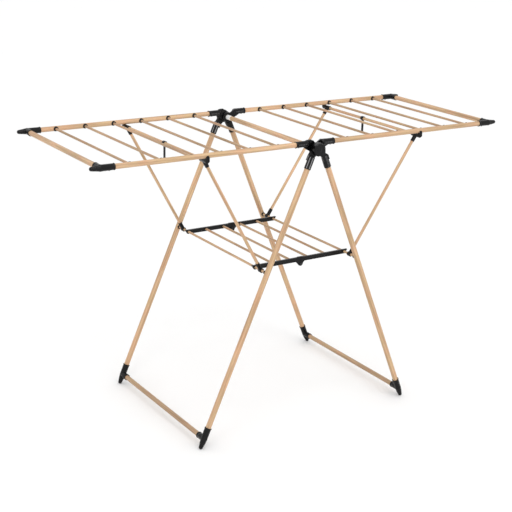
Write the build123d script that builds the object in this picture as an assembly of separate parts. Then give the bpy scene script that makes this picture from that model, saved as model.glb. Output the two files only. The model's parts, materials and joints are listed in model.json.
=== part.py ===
from build123d import *
import os
from math import cos, radians, sin

# Folding gull-wing clothes drying rack, opened for use. Millimetres and degrees.
# X runs along the two wings, Y from the near side (-) to the far side (+), Z up from the floor.
# side is -1 for the left half (frame A) and +1 for the right half (frame B).
# depth is -1 for the near parts and +1 for the far parts.

# Hub
PIVOT_Z = 930.0
PIN_R = 4.0
RUNNING_GAP = 0.05
LAYER_GAP = 0.4
EYE_R = {-1: 20.0, 1: 21.5}
BOSS_R = 19.0
ARCH_R = 15.0
ARCH_Z = 894.5
WING_EYE_R = 17.5
LEG_EYE_Y = {-1: (274.0, 284.0), 1: (284.4, 294.5)}
WING_EYE_Y = {1: (254.3, 259.9), -1: (260.3, 265.9)}
COVER_Y = 296.0
SOCKET_START = 26.0

# Leg frames
SPLAY = radians(23.0)
LEG_OFFSET = 14.0 * cos(SPLAY)
LEG_Y = 285.0
LEG_R = 9.0
TUBE_WALL = 1.0
LEG_SOCKET_R = {-1: 10.3, 1: 10.9}
LEG_SOCKET_END = 70.0
FOOT_BAR_Z = 33.0
FOOT_BAR_R = 8.0
FOOT_R = 10.5
FOOT_BRANCH = 33.0
FOOT_ARM = 38.0
TOE_R = 6.6
TOE_Z = 6.0

# Wings
WING_RISE = 16.0
WING_Y = 263.5
WING_R = 8.0
WING_SOCKET_R = 10.0
WING_SOCKET_END = 68.5
WING_LIP_R = 11.0
WING_END = 732.0
WING_TIP = 765.5
CORNER_R = 10.0
CORNER_SOCKET = 44.0
CORNER_BRANCH = 31.0
FIRST_RUNG = 132.4
RUNG_PITCH = 101.1
RUNG_COUNT = 6
RUNG_R = 4.0
RUNG_WALL = 0.7
GROMMET_R = 7.4
GROMMET_REACH = 3.5

# Props: the two struts and bar that hold each wing up
PROP_Y = 248.5
PROP_R = 5.0
PROP_BAR_AT = {-1: 390.0, 1: 424.0}
PROP_BAR_DROP = 15.8
CRADLE_R = 7.5
CRADLE_Y = (232.0, 271.0)
SLEEVE_R = 6.5
SLEEVE_EYE_R = 7.5
SLEEVE_LENGTH = 30.0
LATCH_Y = {-1: -7.0, 1: 38.0}
LATCH_R = 7.4
LATCH_HALF = 6.0

# Shelf
SHELF_Z = 550.5
RAIL_Y = (210.0, 218.0)
RAIL_HEIGHT = 14.0
RAIL_TOP_OVERHANG = 13.0
RAIL_BOTTOM_OVERHANG = 4.0
KNUCKLE_DROP = 15.5
KNUCKLE_R = 7.5
SHELF_RUNGS = (35.0, 105.0)
SHELF_PIN_R = 3.0

FROM_START = (Align.CENTER, Align.CENTER, Align.MIN)


# Shared shapes

def bar(start, end, radius, end_radius=None):
    """Solid round bar, or a cone when the end radius differs."""
    axis = end - start
    if end_radius is None:
        shape = Cylinder(radius, axis.length, align=FROM_START)
    else:
        shape = Cone(radius, end_radius, axis.length, align=FROM_START)
    return Plane(origin=start, z_dir=axis) * shape


def tube(start, end, radius, wall=TUBE_WALL):
    """Hollow round tube with open ends."""
    return bar(start, end, radius) - bar(start, end, radius - wall)


def disc(x, z, y_from, y_to, radius):
    """Round disc whose axis runs along Y."""
    return bar(Vector(x, y_from, z), Vector(x, y_to, z), radius)


def ball(centre, radius):
    return Pos(centre.X, centre.Y, centre.Z) * Sphere(radius)


def plate(outline, y_from, y_to):
    """Flat plate: a closed outline of (x, z) points, between two depths."""
    edge = Polyline(*[(x, y_from, z) for x, z in outline], close=True)
    return extrude(make_face(edge), amount=y_to - y_from, dir=(0, 1, 0))


def reflected(shape, side, depth):
    """A shape drawn for the near right corner, reflected to any of the four corners."""
    if side < 0:
        shape = mirror(shape, Plane.YZ)
    if depth > 0:
        shape = mirror(shape, Plane.XZ)
    return shape


def group(shapes):
    """Separate solids kept together as one node."""
    return Compound(children=list(shapes))


# Places

def leg_point(side, along, y, outward=LEG_OFFSET):
    """Point beside a leg: how far down the leg from the pivot, and how far outward of it."""
    x = side * (along * sin(SPLAY) + outward * cos(SPLAY))
    z = PIVOT_Z - along * cos(SPLAY) + outward * sin(SPLAY)
    return Vector(x, y, z)


def along_at(z):
    """How far down the leg its centre line reaches a height."""
    return (PIVOT_Z - z + LEG_OFFSET * sin(SPLAY)) / cos(SPLAY)


def wing_point(side, reach, y, rise=WING_RISE):
    return Vector(side * reach, y, PIVOT_Z + rise)


FOOT_AT = along_at(FOOT_BAR_Z)
TOE_AT = along_at(TOE_Z)
SHELF_ROD_AT = along_at(SHELF_Z)
SHELF_ROD_X = leg_point(1, SHELF_ROD_AT, 0).X
RUNG_REACHES = [FIRST_RUNG + RUNG_PITCH * k for k in range(RUNG_COUNT)]
KNUCKLE_Z = SHELF_Z - KNUCKLE_DROP
RAIL_TOP = SHELF_Z + RAIL_HEIGHT / 2
RAIL_BOTTOM = SHELF_Z - RAIL_HEIGHT / 2


# Leg frames

def shelf_rod_hole(side, depth):
    """The space that the shelf rod takes inside a leg tube."""
    x = side * SHELF_ROD_X
    return disc(x, SHELF_Z, depth * (LEG_Y - 2 * LEG_R), depth * (LEG_Y + 7), RUNG_R)


def leg_tube(side, depth):
    top = leg_point(side, SOCKET_START + 12, depth * LEG_Y)
    bottom = leg_point(side, FOOT_AT - 12, depth * LEG_Y)
    return tube(top, bottom, LEG_R) - shelf_rod_hole(side, depth)


def foot_bar(side):
    centre = leg_point(side, FOOT_AT, 0)
    end = Vector(0, LEG_Y - 12, 0)
    return tube(centre - end, centre + end, FOOT_BAR_R)


def foot(side, depth):
    """Moulded foot: a socket for the leg, a branch for the foot bar and a slender rounded toe."""
    y = depth * LEG_Y
    centre = leg_point(side, FOOT_AT, y)
    mouth = leg_point(side, FOOT_AT - FOOT_ARM, y)
    rim = leg_point(side, FOOT_AT - FOOT_ARM + 5, y)
    inward = Vector(0, -depth, 0)
    shoulder = leg_point(side, (FOOT_AT + TOE_AT) / 2, y)
    toe = leg_point(side, TOE_AT, y)
    body = bar(centre, mouth, FOOT_R, FOOT_R + 0.4)
    body += bar(rim, mouth, FOOT_R + 0.4, FOOT_R + 1.3)
    body += bar(centre, centre + inward * FOOT_BRANCH, FOOT_R, FOOT_R - 0.3)
    body += bar(centre + inward * (FOOT_BRANCH - 4), centre + inward * FOOT_BRANCH, FOOT_R + 0.4)
    body += ball(centre, FOOT_R + 0.4)
    body += bar(centre, shoulder, FOOT_R, FOOT_R - 1.0)
    body += bar(shoulder, toe, FOOT_R - 1.0, TOE_R)
    body += ball(toe, TOE_R + 0.1)
    body -= Pos(centre.X, centre.Y, -20) * Box(120, 120, 40)
    body -= bar(leg_point(side, FOOT_AT - 12, y), leg_point(side, FOOT_AT - 60, y), LEG_R)
    body -= bar(centre + inward * 12, centre + inward * 60, FOOT_BAR_R)
    return body


def leg_hub(side, depth):
    """Eye on the pivot pin and socket for the leg tube; the two legs' eyes lie side by side."""
    inner, outer = LEG_EYE_Y[side]
    radius = LEG_SOCKET_R[side]
    shoulder = leg_point(side, SOCKET_START + 4, -LEG_Y)
    mouth = leg_point(side, LEG_SOCKET_END, -LEG_Y)
    body = disc(0, PIVOT_Z, -outer, -inner, EYE_R[side]) + leg_web(side)
    body -= disc(0, ARCH_Z, -outer, -inner, ARCH_R)
    body += bar(leg_point(side, SOCKET_START, -LEG_Y), shoulder, radius - 3, radius)
    body += bar(shoulder, mouth, radius, radius + 0.3)
    if side < 0:
        body += socket_ribs()
    else:
        body += disc(0, PIVOT_Z, -COVER_Y, -outer, BOSS_R)
    body -= bar(leg_point(side, SOCKET_START + 12, -LEG_Y), leg_point(side, 100, -LEG_Y), LEG_R)
    return reflected(body - pin_bore(side), 1, depth)


def leg_web(side):
    """Plate from the eye to the leg socket. Hub B's has a shoulder on its outer edge."""
    inner, outer = LEG_EYE_Y[side]
    inner_edge = LEG_OFFSET - LEG_SOCKET_R[side]
    outer_edge = LEG_OFFSET + LEG_SOCKET_R[side]
    corners = [(45, inner_edge), (45, outer_edge), (30, outer_edge)]
    if side < 0:
        corners += [(6, 19.5)]
    else:
        corners += [(26.5, 21.5), (19.8, 15.8), (4.6, 21.2)]
    points = [leg_point(side, along, 0, out) for along, out in corners]
    outline = [(p.X, p.Z) for p in points]
    outline += [(0, PIVOT_Z), (0, ARCH_Z + ARCH_R + 0.5), (side * 13.6, ARCH_Z + 5.6)]
    return plate(outline, -outer, -inner)


def pin_bore(side):
    """Bore for the pivot pin: tight in frame A, free and blind in frame B."""
    if side < 0:
        return disc(0, PIVOT_Z, -LEG_EYE_Y[side][1], -270, PIN_R)
    return disc(0, PIVOT_Z, -291.3, -280, PIN_R + RUNNING_GAP)


def socket_ribs():
    """Two flat-topped ribs along the outer and the inner face of the leg A socket."""
    top, end = SOCKET_START + 2, LEG_SOCKET_END - 1.5
    layers = ((-LEG_Y - 11, -LEG_Y - 3), (-LEG_Y + 3, -LEG_Y + 10.7))
    ribs = []
    for middle in (LEG_OFFSET - 4.7, LEG_OFFSET + 4.7):
        corners = ((top, middle - 1.3), (top, middle + 1.3), (end, middle + 1.3), (end, middle - 1.3))
        points = [leg_point(-1, along, 0, outward) for along, outward in corners]
        outline = [(p.X, p.Z) for p in points]
        ribs += [plate(outline, y_from, y_to) for y_from, y_to in layers]
    return ribs[0] + ribs[1] + ribs[2] + ribs[3]


def rod_grommet(side, depth):
    """Ring on the inner face of the leg where the shelf rod enters it."""
    x = side * SHELF_ROD_X
    ring = disc(x, SHELF_Z, depth * 272.3, depth * 282, 7)
    ring -= disc(x, SHELF_Z, depth * 272.3, depth * 282, RUNG_R)
    return ring - bar(leg_point(side, 300, depth * LEG_Y), leg_point(side, 500, depth * LEG_Y), LEG_R)


def shelf_rod_a():
    """Rod from leg to leg; shelf half A turns on it."""
    reach = LEG_Y + 7
    return tube(Vector(-SHELF_ROD_X, -reach, SHELF_Z), Vector(-SHELF_ROD_X, reach, SHELF_Z), RUNG_R, RUNG_WALL)


def shelf_stub_b(depth):
    """Short rod from leg B to just outside the shelf rail."""
    start = Vector(SHELF_ROD_X, depth * (RAIL_Y[1] + LAYER_GAP), SHELF_Z)
    return tube(start, Vector(SHELF_ROD_X, depth * (LEG_Y + 7), SHELF_Z), RUNG_R, RUNG_WALL)


def cross_tube():
    half = 228.0
    return tube(Vector(0, -half, PIVOT_Z), Vector(0, half, PIVOT_Z), 8.0)


def cross_bush(depth):
    """Pale bush that closes the cross tube and carries the pivot pin."""
    body = disc(0, PIVOT_Z, depth * 228, depth * 254, 8.0)
    body += disc(0, PIVOT_Z, depth * 214, depth * 228, 7.0)
    return body - disc(0, PIVOT_Z, depth * 236, depth * 254, PIN_R)


def pivot_pin(depth):
    return disc(0, PIVOT_Z, depth * 236, depth * 291, PIN_R)


# Wings

def rungs_of_wing(side):
    reach = WING_Y
    return [tube(wing_point(side, s, -reach), wing_point(side, s, reach), RUNG_R, RUNG_WALL) for s in RUNG_REACHES]


def wing_tube(side, depth):
    """Long tube of a wing, drilled on its inner side for the rungs."""
    y = depth * WING_Y
    body = tube(wing_point(side, SOCKET_START + 12, y), wing_point(side, WING_END - 12, y), WING_R)
    for s in RUNG_REACHES:
        body -= disc(side * s, PIVOT_Z + WING_RISE, depth * (WING_Y - 12), y, RUNG_R)
    return body


def wing_end_tube(side):
    reach = WING_Y - 12
    return tube(wing_point(side, WING_END, -reach), wing_point(side, WING_END, reach), WING_R)


def wing_corner(side, depth):
    """Moulded corner: socket for the long tube, branch for the end tube and a bullet nose."""
    centre = wing_point(1, WING_END, -WING_Y)
    mouth = wing_point(1, WING_END - CORNER_SOCKET, -WING_Y)
    nose = wing_point(1, WING_TIP - 6.5, -WING_Y)
    inward = Vector(0, 1, 0)
    body = bar(centre, mouth, CORNER_R, CORNER_R - 0.4)
    body += bar(centre, centre + inward * CORNER_BRANCH, CORNER_R, CORNER_R - 0.4)
    body += ball(centre, CORNER_R + 0.4)
    body += bar(centre, nose, CORNER_R, 6.5)
    body += ball(nose, 6.5)
    body -= bar(wing_point(1, WING_END - 12, -WING_Y), wing_point(1, WING_END - 60, -WING_Y), WING_R)
    body -= bar(centre + inward * 12, centre + inward * 60, WING_R)
    return reflected(body, side, depth)


def wing_socket(side, depth):
    """Eye on the pivot pin and socket for the long tube of a wing."""
    y = depth * WING_Y
    inner, outer = WING_EYE_Y[side]
    shoulder = wing_point(side, SOCKET_START + 5, y)
    mouth = wing_point(side, WING_SOCKET_END, y)
    lip = wing_point(side, WING_SOCKET_END + 4, y)
    body = disc(0, PIVOT_Z, depth * inner, depth * outer, WING_EYE_R)
    body += wing_web(side, depth * inner, depth * outer)
    body += bar(wing_point(side, SOCKET_START, y), shoulder, WING_SOCKET_R - 3, WING_SOCKET_R)
    body += bar(shoulder, mouth, WING_SOCKET_R, WING_SOCKET_R - 0.3)
    body += bar(mouth, lip, WING_SOCKET_R - 0.3, WING_LIP_R)
    body += stop_lug(side, depth)
    body -= bar(wing_point(side, SOCKET_START + 12, y), wing_point(side, 100, y), WING_R)
    return body - disc(0, PIVOT_Z, depth * inner, depth * outer, PIN_R + RUNNING_GAP)


def wing_web(side, y_from, y_to):
    """Arm from the eye to the socket; the right one leaves a notch behind the socket's pointed start."""
    if side < 0:
        edges = ((0, 16), (5, 24.5), (28, 25), (44, 24), (44, 8), (37, 2), (25, -5), (14, -10))
    else:
        edges = ((2, 15), (9, 14), (14, 16.5), (26, 25), (44, 24), (44, 8), (36, 2), (15, -8))
    return plate([(side * s, PIVOT_Z + rise) for s, rise in edges], y_from, y_to)


def stop_lug(side, depth):
    """Left wing: a thumb bump on top of the socket. Right wing: a wedge under the socket."""
    if side < 0:
        edges = ((8, 20), (11, 27), (15, 29.5), (28, 29.5), (33, 27), (36, 20))
        inner, outer = WING_EYE_Y[side]
    else:
        edges = ((24, 10), (34, 1.5), (40, 1.5), (56, 10))
        inner, outer = WING_Y - 4, WING_Y + 4
    return plate([(side * s, PIVOT_Z + rise) for s, rise in edges], depth * inner, depth * outer)


def rung_grommet(side, depth, reach):
    """Ring on the inner face of the long tube where a rung enters it."""
    z = PIVOT_Z + WING_RISE
    face = WING_Y - WING_R - GROMMET_REACH
    ring = disc(side * reach, z, depth * face, depth * (WING_Y - 3), GROMMET_R)
    ring -= disc(side * reach, z, depth * face, depth * WING_Y, RUNG_R)
    y = depth * WING_Y
    return ring - bar(wing_point(side, reach - 20, y), wing_point(side, reach + 20, y), WING_R)


# Props

def prop_bar_centre(side, y):
    return wing_point(side, PROP_BAR_AT[side], y, WING_RISE - PROP_BAR_DROP)


def prop_foot(side, y):
    return Vector(side * SHELF_ROD_X, y, SHELF_Z)


def prop_direction(side):
    return (prop_bar_centre(side, 0) - prop_foot(side, 0)).normalized()


def prop_tube(side, depth):
    """Strut from the sleeve on the shelf rod up to the cradle."""
    y = depth * PROP_Y
    start = prop_foot(side, y) + prop_direction(side) * 9
    return tube(start, prop_bar_centre(side, y) - prop_direction(side) * 6, PROP_R)


def prop_bar(side):
    """Bar across the top of the two struts; the wing rests on it."""
    reach = PROP_Y - 5
    return tube(prop_bar_centre(side, -reach), prop_bar_centre(side, reach), PROP_R)


def prop_cradle(side, depth):
    """Moulded elbow joining strut and bar; its outer end carries the long tube of the wing."""
    y = depth * PROP_Y
    inner = prop_bar_centre(side, depth * CRADLE_Y[0])
    outer = prop_bar_centre(side, depth * CRADLE_Y[1])
    down = prop_direction(side) * -26
    centre = prop_bar_centre(side, y)
    body = bar(inner, outer, CRADLE_R)
    body += bar(centre, centre + down, CRADLE_R - 0.5, SLEEVE_R)
    body -= bar(centre - prop_direction(side) * 6, centre + down * 2, PROP_R)
    body -= bar(prop_bar_centre(side, depth * (PROP_Y - 5)), prop_bar_centre(side, depth * 200), PROP_R)
    return body


def prop_sleeve(side, depth):
    """Moulded end of the strut, turning on the shelf rod."""
    y = depth * PROP_Y
    foot_end = prop_foot(side, y)
    direction = prop_direction(side)
    half = SLEEVE_R + 0.6
    body = disc(side * SHELF_ROD_X, SHELF_Z, depth * (PROP_Y - half), depth * (PROP_Y + half), SLEEVE_EYE_R)
    body += bar(foot_end, foot_end + direction * SLEEVE_LENGTH, SLEEVE_R)
    body -= bar(foot_end + direction * 9, foot_end + direction * 60, PROP_R)
    bore = RUNG_R + RUNNING_GAP
    return body - disc(side * SHELF_ROD_X, SHELF_Z, depth * (PROP_Y - 12), depth * (PROP_Y + 12), bore)


def latch(side):
    """Swinging catch on the prop bar: a ring with a flat tail hanging from it and a small hook."""
    x = side * PROP_BAR_AT[side]
    y = LATCH_Y[side]
    z = PIVOT_Z + WING_RISE - PROP_BAR_DROP
    body = disc(x, z, y - LATCH_HALF, y + LATCH_HALF, LATCH_R)
    tail = Pos(x, y, z - 28) * Box(3.6, 9, 44)
    body += fillet(tail.edges().filter_by(Axis.X), 2.0)
    body += Pos(x - side * 3, y, z - 47.5) * Box(6, 9, 3)
    return body - disc(x, z, y - LATCH_HALF, y + LATCH_HALF, PROP_R + RUNNING_GAP)


# Shelf

def shelf_rail(side, depth):
    """Rail of one shelf half, with its knuckle lobe under the middle of the shelf."""
    near, far = RAIL_Y
    inner_edge = 0.3
    edges = (
        (SHELF_ROD_X + RAIL_TOP_OVERHANG, RAIL_TOP),
        (SHELF_ROD_X + RAIL_BOTTOM_OVERHANG, RAIL_BOTTOM),
        (inner_edge, RAIL_BOTTOM),
        (inner_edge, RAIL_TOP + 1.5),
        (10, RAIL_TOP + 1.5),
        (13, RAIL_TOP),
    )
    body = plate([(side * x, z) for x, z in edges], depth * near, depth * far)
    body += knuckle(side, depth)
    groove_length = SHELF_ROD_X - 30
    groove = Box(groove_length, 1.6, 3.0)
    body -= Pos(side * (groove_length / 2 + 18), depth * far, SHELF_Z) * groove
    for x in SHELF_RUNGS:
        body -= disc(side * x, SHELF_Z, depth * near, depth * (far - 1), RUNG_R)
    if side < 0:
        body -= disc(side * SHELF_ROD_X, SHELF_Z, depth * near, depth * far, RUNG_R + RUNNING_GAP)
    else:
        body -= disc(side * SHELF_ROD_X, SHELF_Z, depth * near, depth * (far - 1), RUNG_R)
    return body


def knuckle(side, depth):
    """Lobe around the centre pin; half A's lies outside half B's."""
    middle = (RAIL_Y[0] + RAIL_Y[1]) / 2
    layers = {-1: (middle + LAYER_GAP / 2, RAIL_Y[1]), 1: (RAIL_Y[0], middle - LAYER_GAP / 2)}
    near, far = layers[side]
    edges = ((22, RAIL_BOTTOM + 2), (5.2, KNUCKLE_Z - 5.4), (0, KNUCKLE_Z), (0.3, RAIL_BOTTOM + 2))
    lobe = disc(0, KNUCKLE_Z, depth * near, depth * far, KNUCKLE_R)
    lobe += plate([(side * x, z) for x, z in edges], depth * near, depth * far)
    gap = RUNNING_GAP if side < 0 else 0
    return lobe - disc(0, KNUCKLE_Z, depth * near, depth * far, SHELF_PIN_R + gap)


def shelf_pin(depth):
    """Centre pin with a head on each side of the knuckle."""
    near, far = RAIL_Y
    pin = disc(0, KNUCKLE_Z, depth * near, depth * (far + LAYER_GAP), SHELF_PIN_R)
    pin += disc(0, KNUCKLE_Z, depth * (near - 1.4), depth * near, 4.5)
    return pin + disc(0, KNUCKLE_Z, depth * (far + LAYER_GAP), depth * (far + 1.6), 4.5)


def shelf_rung(x):
    reach = RAIL_Y[1] - 1
    return tube(Vector(x, -reach, SHELF_Z), Vector(x, reach, SHELF_Z), RUNG_R, RUNG_WALL)


# Nodes

SIDES = {"a": -1, "b": 1}
WINGS = {"left": -1, "right": 1}
DEPTHS = {"near": -1, "far": 1}


def leg_nodes():
    nodes = {}
    for frame, side in SIDES.items():
        nodes[f"foot_bar_{frame}"] = foot_bar(side)
        nodes[f"rod_grommets_{frame}"] = group(rod_grommet(side, d) for d in DEPTHS.values())
        for name, depth in DEPTHS.items():
            nodes[f"leg_tube_{frame}_{name}"] = leg_tube(side, depth)
            nodes[f"foot_{frame}_{name}"] = foot(side, depth)
            nodes[f"leg_hub_{frame}_{name}"] = leg_hub(side, depth)
    nodes["shelf_rod_a"] = shelf_rod_a()
    nodes["shelf_stubs_b"] = group(shelf_stub_b(d) for d in DEPTHS.values())
    nodes["cross_tube"] = cross_tube()
    nodes["cross_bushes"] = group(cross_bush(d) for d in DEPTHS.values())
    nodes["pivot_pins"] = group(pivot_pin(d) for d in DEPTHS.values())
    return nodes


def wing_nodes():
    nodes = {}
    for wing, side in WINGS.items():
        grommets = [rung_grommet(side, d, s) for d in DEPTHS.values() for s in RUNG_REACHES]
        nodes[f"rungs_{wing}"] = group(rungs_of_wing(side))
        nodes[f"rung_grommets_{wing}"] = group(grommets)
        nodes[f"wing_end_tube_{wing}"] = wing_end_tube(side)
        for name, depth in DEPTHS.items():
            nodes[f"wing_tube_{wing}_{name}"] = wing_tube(side, depth)
            nodes[f"wing_corner_{wing}_{name}"] = wing_corner(side, depth)
            nodes[f"wing_socket_{wing}_{name}"] = wing_socket(side, depth)
    return nodes


def prop_nodes():
    nodes = {}
    for wing, side in WINGS.items():
        nodes[f"prop_bar_{wing}"] = prop_bar(side)
        nodes[f"prop_sleeves_{wing}"] = group(prop_sleeve(side, d) for d in DEPTHS.values())
        nodes[f"prop_latch_{wing}"] = latch(side)
        for name, depth in DEPTHS.items():
            nodes[f"prop_tube_{wing}_{name}"] = prop_tube(side, depth)
            nodes[f"prop_cradle_{wing}_{name}"] = prop_cradle(side, depth)
    return nodes


def shelf_nodes():
    nodes = {}
    for frame, side in SIDES.items():
        for name, depth in DEPTHS.items():
            nodes[f"shelf_rail_{frame}_{name}"] = shelf_rail(side, depth)
    nodes["shelf_rungs_a"] = group(shelf_rung(-x) for x in SHELF_RUNGS)
    nodes["shelf_rungs_b"] = group(shelf_rung(x) for x in (*SHELF_RUNGS, SHELF_ROD_X))
    nodes["shelf_pins"] = group(shelf_pin(d) for d in DEPTHS.values())
    return nodes


os.makedirs("parts", exist_ok=True)
for node, shape in {**leg_nodes(), **wing_nodes(), **prop_nodes(), **shelf_nodes()}.items():
    export_step(shape, f"parts/{node}.step")
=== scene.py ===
"""Clothes drying rack: surfaces, softened mouldings, studio and camera around the CAD frame."""
import json
import math

import bmesh
import bpy
from mathutils import Matrix, Vector


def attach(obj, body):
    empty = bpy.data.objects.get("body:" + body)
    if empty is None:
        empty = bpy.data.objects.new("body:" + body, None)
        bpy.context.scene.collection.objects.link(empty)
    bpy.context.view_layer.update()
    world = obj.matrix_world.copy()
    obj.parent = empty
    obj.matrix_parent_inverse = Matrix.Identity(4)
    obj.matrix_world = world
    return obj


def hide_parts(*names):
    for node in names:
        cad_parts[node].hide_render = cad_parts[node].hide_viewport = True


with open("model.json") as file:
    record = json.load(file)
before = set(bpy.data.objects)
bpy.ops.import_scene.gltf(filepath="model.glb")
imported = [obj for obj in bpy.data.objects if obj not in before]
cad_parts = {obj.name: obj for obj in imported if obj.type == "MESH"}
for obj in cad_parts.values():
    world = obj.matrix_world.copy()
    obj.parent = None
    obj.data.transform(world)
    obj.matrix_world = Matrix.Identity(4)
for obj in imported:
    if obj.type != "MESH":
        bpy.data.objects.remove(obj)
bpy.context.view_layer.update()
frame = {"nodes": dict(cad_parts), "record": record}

# Driving dimensions of the rack in metres and radians, as in its CAD source
PIVOT_Z = 0.930
SPLAY = math.radians(23.0)
LEG_OFFSET = 0.014 * math.cos(SPLAY)
LEG_Y = 0.285
FOOT_BAR_Z = 0.033
FOOT_AT = (PIVOT_Z - FOOT_BAR_Z + LEG_OFFSET * math.sin(SPLAY)) / math.cos(SPLAY)
WING_Y = 0.2635
WING_Z = 0.946
WING_END = 0.732
RUNG_REACHES = [0.1324 + 0.1011 * k for k in range(6)]
SHELF_Z = 0.5505
SHELF_ROD_X = 0.17509
SHELF_RUNG_REACHES = (0.035, 0.105)
KNUCKLE_Z = SHELF_Z - 0.0155
PROP_Y = 0.2485
PROP_BAR_Z = 0.9302
PROP_BAR_X = {-1: -0.390, 1: 0.424}

# Round cores that close the mouths of the sockets around the tubes
LEG_CORE_R = 0.0093
WING_CORE_R = 0.0083
PROP_CORE_R = 0.0053

# Ribs of a leg A socket: angles from the outer face's normal, and their size
RIB_ANGLES = [math.radians(angle) for angle in (7, 60, 120, 173)]
RIB_CENTRE = 0.0100
RIB_R = 0.0013

# Grooves in the mouldings: half width and depth
RING_GROOVE = (0.0010, 0.0006)
LONG_GROOVE = (0.0011, 0.0006)
DEEP_GROOVE = (0.0011, 0.0007)
FINE_GROOVE = (0.0010, 0.0005)

# Thin saddle of a rung ring on its wing tube, and the collar around the rung
SADDLE_R = 0.0098
SADDLE_RISE = 0.009
COLLAR_R = 0.0054
COLLAR_REACH = 0.0114

# Camera: yaw, pitch and roll in degrees, place in metres
CAMERA_ANGLES = (33.73, -18.28, 1.87)
CAMERA_PLACE = (-2.088, -3.132, 1.744)
CAMERA_LENS = 81.73
CAMERA_SHIFT = (-0.0169, -0.0017)

# Names used by the nodes: side -1 is frame A and the left wing, depth -1 is the near end
SIDES = (-1, 1)
FRAME_OF = {-1: "a", 1: "b"}
WING_OF = {-1: "left", 1: "right"}
END_OF = {-1: "near", 1: "far"}
BODY_OF_NODE = {
    node: body
    for body, nodes in frame["record"]["behaviour"]["bodies"].items()
    for node in nodes
}


# Node trees

class Tree:
    """Short calls for building a material's node tree."""

    def __init__(self, name):
        self.material = bpy.data.materials.new(name)
        self.material.use_nodes = True
        self.nodes = self.material.node_tree.nodes
        self.links = self.material.node_tree.links
        self.shader = self.nodes["Principled BSDF"]

    def feed(self, socket, value):
        if isinstance(value, bpy.types.NodeSocket):
            self.links.new(value, socket)
        else:
            socket.default_value = value

    def surface(self, colour, roughness, normal):
        self.feed(self.shader.inputs["Base Color"], colour)
        self.feed(self.shader.inputs["Roughness"], roughness)
        self.feed(self.shader.inputs["Normal"], normal)

    def constant(self, socket, value):
        self.shader.inputs[socket].default_value = value

    def math(self, operation, a, b=0.0, c=0.0):
        node = self.nodes.new("ShaderNodeMath")
        node.operation = operation
        for socket, value in zip(node.inputs, (a, b, c)):
            self.feed(socket, value)
        return node.outputs[0]

    def mix(self, share, a, b, blend="MIX"):
        node = self.nodes.new("ShaderNodeMix")
        node.data_type = "RGBA"
        node.blend_type = blend
        self.feed(node.inputs[0], share)
        self.feed(node.inputs[6], a)
        self.feed(node.inputs[7], b)
        return node.outputs[2]

    def noise(self, vector, scale, detail=3.0, roughness=0.5, distortion=0.0):
        node = self.nodes.new("ShaderNodeTexNoise")
        self.feed(node.inputs["Vector"], vector)
        node.inputs["Scale"].default_value = scale
        node.inputs["Detail"].default_value = detail
        node.inputs["Roughness"].default_value = roughness
        node.inputs["Distortion"].default_value = distortion
        return node.outputs["Fac"]

    def ramp(self, value, *stops):
        node = self.nodes.new("ShaderNodeValToRGB")
        self.feed(node.inputs[0], value)
        elements = node.color_ramp.elements
        while len(elements) < len(stops):
            elements.new(0.5)
        for element, (place, colour) in zip(elements, stops):
            element.position = place
            element.color = (*colour, 1.0)
        return node.outputs[0]

    def grey_ramp(self, value, low, high):
        return self.ramp(value, (low, (0.0, 0.0, 0.0)), (high, (1.0, 1.0, 1.0)))

    def bump(self, height, strength, distance, below=None):
        node = self.nodes.new("ShaderNodeBump")
        node.inputs["Strength"].default_value = strength
        node.inputs["Distance"].default_value = distance
        self.feed(node.inputs["Height"], height)
        if below is not None:
            self.feed(node.inputs["Normal"], below)
        return node.outputs[0]

    def place(self, rotation=(0, 0, 0), scale=(1, 1, 1)):
        """Object coordinates, turned and then stretched."""
        coordinates = self.nodes.new("ShaderNodeTexCoord")
        turned = self.nodes.new("ShaderNodeMapping")
        turned.inputs["Rotation"].default_value = rotation
        self.links.new(coordinates.outputs["Object"], turned.inputs["Vector"])
        stretched = self.nodes.new("ShaderNodeMapping")
        stretched.inputs["Scale"].default_value = scale
        self.links.new(turned.outputs[0], stretched.inputs["Vector"])
        return stretched.outputs[0]


# Materials

def wood_grain_coating(name, direction, shade=1.0):
    """Printed light-oak film on a tube: long grain streaks, short dark pores, satin lacquer."""
    light = [shade * channel for channel in (0.66, 0.445, 0.27)]
    dark = [shade * channel for channel in (0.33, 0.20, 0.11)]
    tree = Tree(name)
    turn = Vector(direction).rotation_difference(Vector((1, 0, 0))).to_euler()
    streaks = tree.noise(tree.place(turn, (5, 150, 150)), 1.0, 5.0, 0.62, 0.7)
    broad = tree.noise(tree.place(turn, (6, 34, 34)), 1.0, 3.0, 0.5, 0.8)
    cast = tree.noise(tree.place(turn, (22, 30, 30)), 1.0, 2.0, 0.5)
    pores = tree.noise(tree.place(turn, (55, 900, 900)), 1.0, 2.0, 0.5)
    colour = tree.mix(tree.grey_ramp(streaks, 0.34, 0.62), (*dark, 1), (*light, 1))
    veil = tree.ramp(broad, (0.3, (0.82, 0.79, 0.75)), (0.7, (1.08, 1.06, 1.04)))
    colour = tree.mix(0.8, colour, veil, "MULTIPLY")
    tint = tree.ramp(
        cast,
        (0.36, (1.07, 0.95, 0.94)),
        (0.5, (1.0, 1.0, 1.0)),
        (0.64, (0.97, 1.02, 0.93)),
    )
    colour = tree.mix(0.9, colour, tint, "MULTIPLY")
    pore_mask = tree.grey_ramp(pores, 0.62, 0.73)
    colour = tree.mix(tree.math("MULTIPLY", pore_mask, 0.45), colour, (0.17, 0.09, 0.045, 1))
    colour = tree.mix(0.22, colour, (*light, 1))
    relief = tree.math("SUBTRACT", streaks, tree.math("MULTIPLY", pore_mask, 0.5))
    rough = tree.math("MULTIPLY_ADD", streaks, 0.18, 0.38)
    tree.surface(colour, rough, tree.bump(relief, 0.3, 0.00015))
    tree.constant("Specular IOR Level", 0.35)
    tree.constant("Coat Weight", 0.08)
    tree.constant("Coat Roughness", 0.3)
    return tree.material


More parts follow.
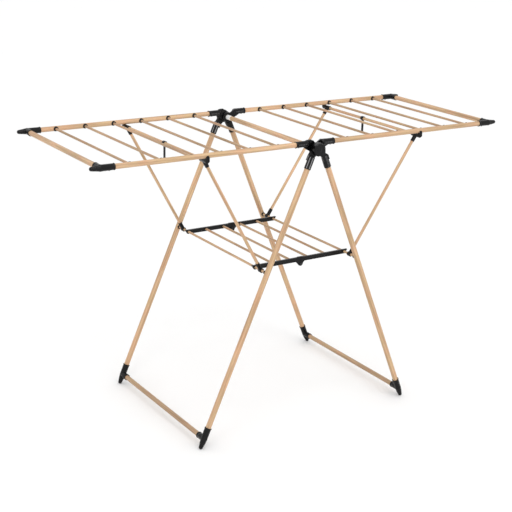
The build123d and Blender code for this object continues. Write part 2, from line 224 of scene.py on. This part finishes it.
def black_plastic():
    """Satin polypropylene: fine spark texture, faint flow marks and scuffs, rubbed edges."""
    tree = Tree("satin black plastic")
    fine = tree.noise(tree.place(), 1500.0, 3.0, 0.6)
    cloud = tree.noise(tree.place(), 60.0, 4.0, 0.6)
    flow = tree.noise(tree.place((0.2, 0.5, 0.1), (25, 90, 40)), 1.0, 4.0, 0.55, 1.5)
    scuff = tree.noise(tree.place((0.4, 0.7, 0.2), (60, 700, 260)), 1.0, 3.0, 0.6, 1.2)
    scuffs = tree.grey_ramp(scuff, 0.62, 0.74)
    geometry = tree.nodes.new("ShaderNodeNewGeometry")
    edges = tree.grey_ramp(geometry.outputs["Pointiness"], 0.53, 0.62)
    colour = tree.mix(cloud, (0.0015, 0.0015, 0.0017, 1), (0.0040, 0.0039, 0.0042, 1))
    colour = tree.mix(tree.math("MULTIPLY", edges, 0.5), colour, (0.022, 0.022, 0.023, 1))
    colour = tree.mix(tree.math("MULTIPLY", scuffs, 0.22), colour, (0.026, 0.025, 0.025, 1))
    rough = tree.math("MULTIPLY_ADD", flow, 0.20, 0.17)
    rough = tree.math("ADD", rough, tree.math("MULTIPLY", scuffs, 0.14))
    soft = tree.bump(cloud, 0.12, 0.0005)
    tree.surface(colour, rough, tree.bump(fine, 0.2, 0.00008, soft))
    tree.constant("Specular IOR Level", 0.22)
    return tree.material


def pale_plastic():
    tree = Tree("pale bush plastic")
    cloud = tree.noise(tree.place(), 90.0, 4.0, 0.6)
    colour = tree.mix(cloud, (0.82, 0.81, 0.78, 1), (0.90, 0.89, 0.87, 1))
    rough = tree.math("MULTIPLY_ADD", cloud, 0.2, 0.35)
    tree.surface(colour, rough, tree.bump(cloud, 0.1, 0.0002))
    tree.constant("Subsurface Weight", 0.05)
    return tree.material


def turned_steel(name, stretch, dark, light, smoothest, metallic):
    """Steel with turning marks around the Y axis."""
    tree = Tree(name)
    rings = tree.noise(tree.place((0, 0, 0), stretch), 1.0, 3.0, 0.6)
    rough = tree.math("MULTIPLY_ADD", rings, 0.25, smoothest)
    tree.surface(tree.mix(rings, dark, light), rough, tree.bump(rings, 0.2, 0.0001))
    tree.constant("Metallic", metallic)
    return tree.material


def painted_rib_highlights():
    """Crests of the socket ribs painted grey in streaks: a painted highlight for the glossy ribs
    catching the light.
    """
    tree = Tree("painted highlight on rib crests")
    streak = tree.noise(tree.place((0, SPLAY, 0), (900, 300, 60)), 1.0, 4.0, 0.6)
    colour = tree.mix(streak, (0.16, 0.16, 0.165, 1), (0.34, 0.34, 0.35, 1))
    rough = tree.math("MULTIPLY_ADD", streak, 0.25, 0.25)
    tree.surface(colour, rough, tree.bump(streak, 0.2, 0.0001))
    return tree.material


def painted_ridge_highlights():
    """Proud ridges and upward faces of the sockets painted paler than the rest in patches: a
    painted highlight where they catch the light from above.
    """
    tree = Tree("painted highlight on ridges")
    patch = tree.noise(tree.place((0.3, 0.2, 0.5), (260, 420, 160)), 1.0, 4.0, 0.6, 1.0)
    painted_sheen = tree.grey_ramp(patch, 0.42, 0.66)
    colour = tree.mix(painted_sheen, (0.004, 0.004, 0.0042, 1), (0.085, 0.084, 0.086, 1))
    rough = tree.math("MULTIPLY_ADD", patch, 0.25, 0.22)
    tree.surface(colour, rough, tree.bump(patch, 0.2, 0.0001))
    tree.constant("Specular IOR Level", 0.3)
    return tree.material


def leg_direction(side):
    return Vector((side * math.sin(SPLAY), 0, -math.cos(SPLAY)))


def prop_direction(side):
    bar = Vector((PROP_BAR_X[side], 0, PROP_BAR_Z))
    rod = Vector((side * SHELF_ROD_X, 0, SHELF_Z))
    return (bar - rod).normalized()


BLACK = black_plastic()
PALE = pale_plastic()
STEEL = turned_steel(
    "plain steel", (900, 60, 900), (0.42, 0.42, 0.43, 1), (0.58, 0.58, 0.59, 1), 0.25, 1.0
)
DARK_STEEL = turned_steel(
    "blackened steel", (700, 90, 700), (0.018, 0.018, 0.019, 1), (0.04, 0.04, 0.042, 1), 0.35, 0.6
)
RIB_HIGHLIGHT = painted_rib_highlights()
RIDGE_HIGHLIGHT = painted_ridge_highlights()

RUNG_WOOD = wood_grain_coating("wood grain rungs", (0, 1, 0), 0.82)

# Wood film by the start of the node's name; the first match counts
WOOD = {
    "leg_tube_a": wood_grain_coating("wood grain leg a", leg_direction(-1)),
    "leg_tube_b": wood_grain_coating("wood grain leg b", leg_direction(1)),
    "prop_tube_left": wood_grain_coating("wood grain prop left", prop_direction(-1)),
    "prop_tube_right": wood_grain_coating("wood grain prop right", prop_direction(1)),
    "wing_tube": wood_grain_coating("wood grain along x", (1, 0, 0)),
    # Foot bars: the same wood film darkened to 0.76 as painted shade for these low tubes along Y
    "foot_bar": wood_grain_coating("wood grain foot bars with painted shade", (0, 1, 0), 0.76),
    "rungs": RUNG_WOOD,
    "shelf_rungs": RUNG_WOOD,
    "": wood_grain_coating("wood grain along y", (0, 1, 0)),
}


def wood_for(node):
    return next(material for start, material in WOOD.items() if node.startswith(start))


def dress_cad_nodes():
    slots = {row["node"]: row["material_slot"] for row in frame["record"]["subparts"]}
    plain = {"black_plastic": BLACK, "pale_plastic": PALE, "steel_pin": STEEL}
    for node, obj in frame["nodes"].items():
        material = plain.get(slots[node]) or wood_for(node)
        if node == "shelf_pins":
            material = DARK_STEEL
        obj.data.materials.clear()
        obj.data.materials.append(material)


# Mouldings: each stands for one black plastic CAD node, with softened edges and small details

def bar_mesh(bm, start, end, radius, end_radius=None, segments=40):
    """Closed round bar or cone added to a bmesh."""
    axis = end - start
    turn = axis.to_track_quat("Z", "Y").to_matrix().to_4x4()
    bmesh.ops.create_cone(
        bm,
        cap_ends=True,
        segments=segments,
        radius1=radius,
        radius2=radius if end_radius is None else end_radius,
        depth=axis.length,
        matrix=Matrix.Translation((start + end) / 2) @ turn,
    )


def cross_bar(bm, x, z, start_y, end_y, radius, end_radius=None):
    """Bar along the Y axis."""
    bar_mesh(bm, Vector((x, start_y, z)), Vector((x, end_y, z)), radius, end_radius)


def dome_mesh(bm, centre, normal, radius, height):
    """Low round rivet head."""
    turn = Vector(normal).to_track_quat("Z", "Y").to_matrix().to_4x4()
    squash = Matrix.Diagonal((radius, radius, height, 1.0))
    matrix = Matrix.Translation(centre) @ turn @ squash
    bmesh.ops.create_uvsphere(bm, u_segments=24, v_segments=12, radius=1.0, matrix=matrix)


def leg_place(side, along, y, outward=LEG_OFFSET):
    """Point at a distance down a leg from the pivot and out from the leg's middle plane."""
    x = side * (along * math.sin(SPLAY) + outward * math.cos(SPLAY))
    z = PIVOT_Z - along * math.cos(SPLAY) + outward * math.sin(SPLAY)
    return Vector((x, y, z))


def leg_measure(side, place):
    """Distance of a point down a leg from the pivot, and outward from the leg's axis."""
    along = side * place.x * math.sin(SPLAY) - (place.z - PIVOT_Z) * math.cos(SPLAY)
    outward = side * place.x * math.cos(SPLAY) + (place.z - PIVOT_Z) * math.sin(SPLAY)
    return along, outward - LEG_OFFSET


def groove(distance, width, depth):
    """Depth of a rounded groove at a distance from its middle line."""
    share = abs(distance) / width
    return -depth * (1 - share * share) ** 2 if share < 1 else 0.0


def settle(piece):
    """Turn a piece's modifiers into its mesh."""
    bpy.context.view_layer.update()
    graph = bpy.context.evaluated_depsgraph_get()
    skin = bpy.data.meshes.new_from_object(piece.evaluated_get(graph))
    piece.modifiers.clear()
    piece.data = skin
    return skin


def mould(node, extras=None, voxel=0.0007, rounds=5, keep=0.5, carve=None, clamp=None):
    """Copy a node's mesh, add extra volumes, melt all into one skin, soften and carve it.

    carve gives a move along the normal, clamp gives a new place, for each point of the skin.
    """
    bm = bmesh.new()
    bm.from_mesh(frame["nodes"][node].data)
    if extras:
        extras(bm)
    rough = bpy.data.meshes.new("rough_" + node)
    bm.to_mesh(rough)
    bm.free()
    piece = bpy.data.objects.new("moulded_" + node, rough)
    bpy.context.scene.collection.objects.link(piece)
    melt = piece.modifiers.new("melt", "REMESH")
    melt.mode = "VOXEL"
    melt.voxel_size = voxel
    soften = piece.modifiers.new("soften", "SMOOTH")
    soften.iterations = rounds
    soften.factor = 0.5
    skin = settle(piece)
    if carve:
        normals = [vertex.normal.copy() for vertex in skin.vertices]
        for vertex, normal in zip(skin.vertices, normals):
            vertex.co += normal * carve(vertex.co, normal)
    if clamp:
        for vertex in skin.vertices:
            vertex.co = clamp(vertex.co)
    thin = piece.modifiers.new("thin", "DECIMATE")
    thin.ratio = keep
    skin = settle(piece)
    for polygon in skin.polygons:
        polygon.use_smooth = True
    skin.materials.clear()
    skin.materials.append(BLACK)
    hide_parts(node)
    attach(piece, BODY_OF_NODE[node])
    return piece


def second_material(piece, material, chosen):
    """Give the chosen faces of a piece another material."""
    piece.data.materials.append(material)
    for face in piece.data.polygons:
        if chosen(face):
            face.material_index = 1


def turn_ribs(bm, y):
    """Sink the flat ribs of a leg A socket into its wall and lay round ones along it instead."""
    for vertex in bm.verts:
        along, outward = leg_measure(-1, vertex.co)
        away = vertex.co.y - y
        on_socket = 0.0265 < along < 0.0695
        if on_socket and abs(abs(outward) - 0.0047) < 0.0015 and abs(away) > 0.0104:
            vertex.co.y = y + math.copysign(0.0091, away)
    for rib in RIB_ANGLES:
        outward = LEG_OFFSET + RIB_CENTRE * math.sin(rib)
        away = y - RIB_CENTRE * math.cos(rib)
        top = leg_place(-1, 0.031, away, outward)
        bar_mesh(bm, top, leg_place(-1, 0.0675, away, outward), RIB_R, segments=16)


def make_leg_hub(side, depth):
    y = depth * LEG_Y
    out_normal = (0, depth, 0)

    def extras(bm):
        if side < 0:
            turn_ribs(bm, y)
        bar_mesh(bm, leg_place(side, 0.036, y), leg_place(side, 0.0692, y), LEG_CORE_R)
        if side > 0:
            dome_mesh(bm, Vector((0, depth * 0.2958, PIVOT_Z)), out_normal, 0.0060, 0.0018)
            rivet = leg_place(side, 0.058, y) + Vector((0, depth * 0.0106, 0))
            dome_mesh(bm, rivet, out_normal, 0.0026, 0.0016)

    def carve(place, normal):
        if side < 0:
            return 0.0
        out = depth * place.y
        move = 0.0
        if out > 0.2945 and abs(normal.y) > 0.7:
            radius = math.hypot(place.x, place.z - PIVOT_Z)
            move += groove(radius - 0.0105, 0.0013, 0.0007)
        along, outward = leg_measure(side, place)
        if out > 0.286 and 0.034 < along < 0.066:
            for line in (-0.0055, 0.0055):
                move += groove(outward - line, *LONG_GROOVE)
        return move

    def on_rib(face):
        along, outward = leg_measure(side, face.center)
        out = y - face.center.y
        angle = math.atan2(outward, out)
        close = any(abs(angle - rib) < math.radians(6.5) for rib in RIB_ANGLES)
        return 0.029 < along < 0.068 and close and math.hypot(outward, out) > 0.0107

    def highlight_face(face):
        place = face.center
        # Upward faces above the pivot and the proud ridges between the grooves get the paler
        # painted highlight
        if face.normal.z > 0.45 and place.z > PIVOT_Z + 0.014:
            return True
        along, outward = leg_measure(side, place)
        proud = abs(outward) < 0.0036 and depth * (place.y - y) > 0.0092
        return 0.029 < along < 0.068 and proud

    name = f"leg_hub_{FRAME_OF[side]}_{END_OF[depth]}"
    piece = mould(name, extras, voxel=0.0006, rounds=3, keep=0.5, carve=carve)
    if side < 0:
        # Rib crests of a frame A hub get the grey painted highlight
        second_material(piece, RIB_HIGHLIGHT, on_rib)
    else:
        # Top faces and proud ridges of a frame B hub get the paler painted highlight
        second_material(piece, RIDGE_HIGHLIGHT, highlight_face)


def make_wing_socket(side, depth):
    y = depth * WING_Y

    def extras(bm):
        start = Vector((side * 0.036, y, WING_Z))
        bar_mesh(bm, start, Vector((side * 0.0718, y, WING_Z)), WING_CORE_R)
        rivet = Vector((side * 0.060, y, WING_Z - 0.0098))
        dome_mesh(bm, rivet, (0, 0, -1), 0.0026, 0.0015)

    def carve(place, normal):
        reach = side * place.x
        move = groove(reach - 0.0672, *LONG_GROOVE)
        if 0.036 < reach < 0.066 and abs(place.y) > WING_Y:
            for line in (-0.0035, 0.0035):
                move += groove(place.z - WING_Z - line, 0.0012, 0.0007)
        if side < 0 and depth < 0:
            move -= max(0.0, place.z - PIVOT_Z - 0.0262)
        return move

    def highlight_face(face):
        place = face.center
        reach = side * place.x
        # Upward faces near the pivot and the proud side ridges get the paler painted highlight
        if face.normal.z > 0.6 and reach < 0.030 and place.z > PIVOT_Z + 0.012:
            return True
        on_side = abs(place.z - WING_Z) < 0.0021 and abs(place.y - y) > 0.0090
        return 0.034 < reach < 0.0655 and on_side

    name = f"wing_socket_{WING_OF[side]}_{END_OF[depth]}"
    piece = mould(name, extras, voxel=0.0006, rounds=4, keep=0.45, carve=carve)
    second_material(piece, RIDGE_HIGHLIGHT, highlight_face)


def make_foot(side, depth):
    y = depth * LEG_Y
    centre = leg_place(side, FOOT_AT, y)
    down = leg_direction(side)
    inward = Vector((0, -depth, 0))

    def extras(bm):
        mouth = leg_place(side, FOOT_AT - 0.0374, y)
        bar_mesh(bm, mouth, leg_place(side, FOOT_AT - 0.010, y), LEG_CORE_R)
        bar_mesh(bm, centre + inward * 0.010, centre + inward * 0.0324, WING_CORE_R)
        rivet = centre - down * 0.024 + Vector((0, depth * 0.0104, 0))
        dome_mesh(bm, rivet, (0, depth, 0), 0.0028, 0.0016)

    def carve(place, normal):
        along = (place - centre).dot(down)
        reach = -depth * (place.y - y)
        move = groove(along + 0.0315, *RING_GROOVE)
        if reach > 0.012:
            move += groove(reach - 0.0275, *RING_GROOVE)
        for ring in (0.0135, 0.0175, 0.0215):
            move += groove(along - ring, *DEEP_GROOVE)
        return move

    mould(f"foot_{FRAME_OF[side]}_{END_OF[depth]}", extras, carve=carve)


def make_corner(side, depth):
    y = depth * WING_Y
    centre = Vector((side * WING_END, y, WING_Z))
    inward = Vector((0, -depth, 0))
    back = Vector((-side, 0, 0))

    def extras(bm):
        bar_mesh(bm, centre + back * 0.010, centre + back * 0.0434, WING_CORE_R)
        bar_mesh(bm, centre + inward * 0.010, centre + inward * 0.0304, WING_CORE_R)
        for way, lip_start, lip_end in ((back, 0.0405, 0.0438), (inward, 0.0275, 0.0308)):
            bar_mesh(bm, centre + way * lip_start, centre + way * lip_end, 0.0101, 0.0107)
        rivet = centre + back * 0.028 - Vector((0, 0, 0.0098))
        dome_mesh(bm, rivet, (0, 0, -1), 0.0026, 0.0015)

    def carve(place, normal):
        reach = side * place.x - WING_END
        across = -depth * (place.y - y)
        move = groove(reach + 0.0375, *RING_GROOVE)
        if across > 0.012:
            move += groove(across - 0.0245, *RING_GROOVE)
        return move + groove(reach - 0.0135, *LONG_GROOVE)

    mould(f"wing_corner_{WING_OF[side]}_{END_OF[depth]}", extras, carve=carve)


def make_cradle(side, depth):
    x = PROP_BAR_X[side]
    bar_centre = Vector((x, 0, PROP_BAR_Z))
    direction = prop_direction(side)
    # Cheek on the outer side of the wing tube: height, radius and start of each round layer
    cheek = (
        (PROP_BAR_Z + 0.0015, 0.0068, 0.268),
        (0.9375, 0.0067, 0.2724),
        (0.9415, 0.0058, 0.2724),
    )

    def extras(bm):
        at = bar_centre + Vector((0, depth * PROP_Y, 0))
        bar_mesh(bm, at - direction * 0.006, at - direction * 0.0255, PROP_CORE_R)
        cross_bar(bm, x, PROP_BAR_Z, depth * 0.2325, depth * 0.246, PROP_CORE_R)
        for z, radius, start in cheek:
            cross_bar(bm, x, z, depth * start, depth * 0.2738, radius)

    def carve(place, normal):
        move = groove(depth * place.y - 0.2375, *FINE_GROOVE)
        return move + groove((place - bar_centre).dot(direction) + 0.0215, *FINE_GROOVE)

    name = f"prop_cradle_{WING_OF[side]}_{END_OF[depth]}"
    mould(name, extras, voxel=0.0006, rounds=4, keep=0.45, carve=carve)


def make_rail(side, depth):
    def extras(bm):
        for reach in SHELF_RUNG_REACHES:
            cross_bar(bm, side * reach, SHELF_Z, depth * 0.2155, depth * 0.2183, 0.0052, 0.0046)
        if side > 0:
            for x in (0.002, 0.0045):
                cross_bar(bm, x, KNUCKLE_Z, depth * 0.2101, depth * 0.2136, 0.0077)

    def carve(place, normal):
        reach = side * place.x
        if abs(normal.y) < 0.7 or reach < 0.014 or reach > 0.165:
            return 0.0
        return groove(place.z - SHELF_Z - 0.0048, 0.0008, 0.0004)

    name = f"shelf_rail_{FRAME_OF[side]}_{END_OF[depth]}"
    mould(name, extras, voxel=0.0006, rounds=3, keep=0.45, carve=carve)


def make_rung_grommets(side):
    def extras(bm):
        for reach in RUNG_REACHES:
            for depth in SIDES:
                cross_bar(bm, side * reach, WING_Z, depth * 0.2558, depth * 0.2516, 0.0082)

    def clamp(place):
        """Keep each ring a thin saddle on the wing tube, with a low collar around the rung."""
        rise = place.z - WING_Z
        step = min(abs(side * place.x - reach) for reach in RUNG_REACHES)
        if math.hypot(step, rise) < COLLAR_R:
            thickness = COLLAR_REACH
        else:
            thickness = math.sqrt(SADDLE_R ** 2 - min(abs(rise), SADDLE_RISE) ** 2)
        place.y = math.copysign(max(abs(place.y), WING_Y - thickness), place.y)
        return place

    mould(f"rung_grommets_{WING_OF[side]}", extras, voxel=0.0006, rounds=2, clamp=clamp)


def make_mouldings():
    for side in SIDES:
        for depth in SIDES:
            make_leg_hub(side, depth)
            make_wing_socket(side, depth)
            make_foot(side, depth)
            make_corner(side, depth)
            make_cradle(side, depth)
            make_rail(side, depth)
    for side in SIDES:
        mould(f"prop_sleeves_{WING_OF[side]}", voxel=0.0006, rounds=4)
        mould(f"prop_latch_{WING_OF[side]}", voxel=0.0005, rounds=3, keep=0.6)
        make_rung_grommets(side)
    for side in SIDES:
        mould(f"rod_grommets_{FRAME_OF[side]}", voxel=0.0006, rounds=3)


# Floor, light and camera

def make_floor():
    size = 30.0
    mesh = bpy.data.meshes.new("floor")
    corners = [(-size, -size, 0), (size, -size, 0), (size, size, 0), (-size, size, 0)]
    mesh.from_pydata(corners, [], [(0, 1, 2, 3)])
    paint = Tree("pale floor")
    paint.constant("Base Color", (0.93, 0.93, 0.93, 1))
    paint.constant("Roughness", 0.8)
    paint.constant("Specular IOR Level", 0.2)
    mesh.materials.append(paint.material)
    floor = bpy.data.objects.new("floor", mesh)
    bpy.context.scene.collection.objects.link(floor)


def make_world():
    world = bpy.data.worlds.new("studio")
    world.use_nodes = True
    background = world.node_tree.nodes["Background"]
    background.inputs["Color"].default_value = (1.0, 1.0, 1.0, 1)
    background.inputs["Strength"].default_value = 0.965
    bpy.context.scene.world = world


def make_key_light():
    """Very large, far softbox from the front: a sun with a wide angle."""
    light = bpy.data.lights.new("key", "SUN")
    light.energy = 0.75
    light.angle = math.radians(70)
    obj = bpy.data.objects.new("key", light)
    obj.rotation_euler = Vector((-0.15, -0.85, 0.50)).to_track_quat("Z", "Y").to_euler()
    bpy.context.scene.collection.objects.link(obj)


def make_overhead_light():
    """Small round softbox above the rack: it draws the highlights on the black mouldings."""
    place = Vector((-0.5, -0.9, 3.1))
    light = bpy.data.lights.new("overhead", "AREA")
    light.shape = "DISK"
    light.size = 0.5
    light.energy = 7
    obj = bpy.data.objects.new("overhead", light)
    obj.location = place
    to_hub = Vector((0, 0, PIVOT_Z)) - place
    obj.rotation_euler = to_hub.to_track_quat("-Z", "Y").to_euler()
    bpy.context.scene.collection.objects.link(obj)


def make_camera():
    """Camera at eye height, left of the rack and in front of it, as in the photograph."""
    yaw, pitch, roll = (math.radians(angle) for angle in CAMERA_ANGLES)
    flat = Vector((math.sin(yaw), math.cos(yaw), 0))
    forward = flat * math.cos(pitch) + Vector((0, 0, math.sin(pitch)))
    level = forward.cross(Vector((0, 0, 1))).normalized()
    above = level.cross(forward)
    right = level * math.cos(roll) + above * math.sin(roll)
    up = above * math.cos(roll) - level * math.sin(roll)
    data = bpy.data.cameras.new("camera")
    data.sensor_width = 36.0
    data.lens = CAMERA_LENS
    data.shift_x, data.shift_y = CAMERA_SHIFT
    data.clip_end = 100.0
    camera = bpy.data.objects.new("camera", data)
    axes = Matrix((right, up, -forward)).transposed().to_4x4()
    camera.matrix_world = Matrix.Translation(CAMERA_PLACE) @ axes
    bpy.context.scene.collection.objects.link(camera)
    bpy.context.scene.camera = camera


dress_cad_nodes()
make_mouldings()
make_floor()
make_world()
make_key_light()
make_overhead_light()
make_camera()
bpy.context.scene.view_settings.view_transform = "Standard"
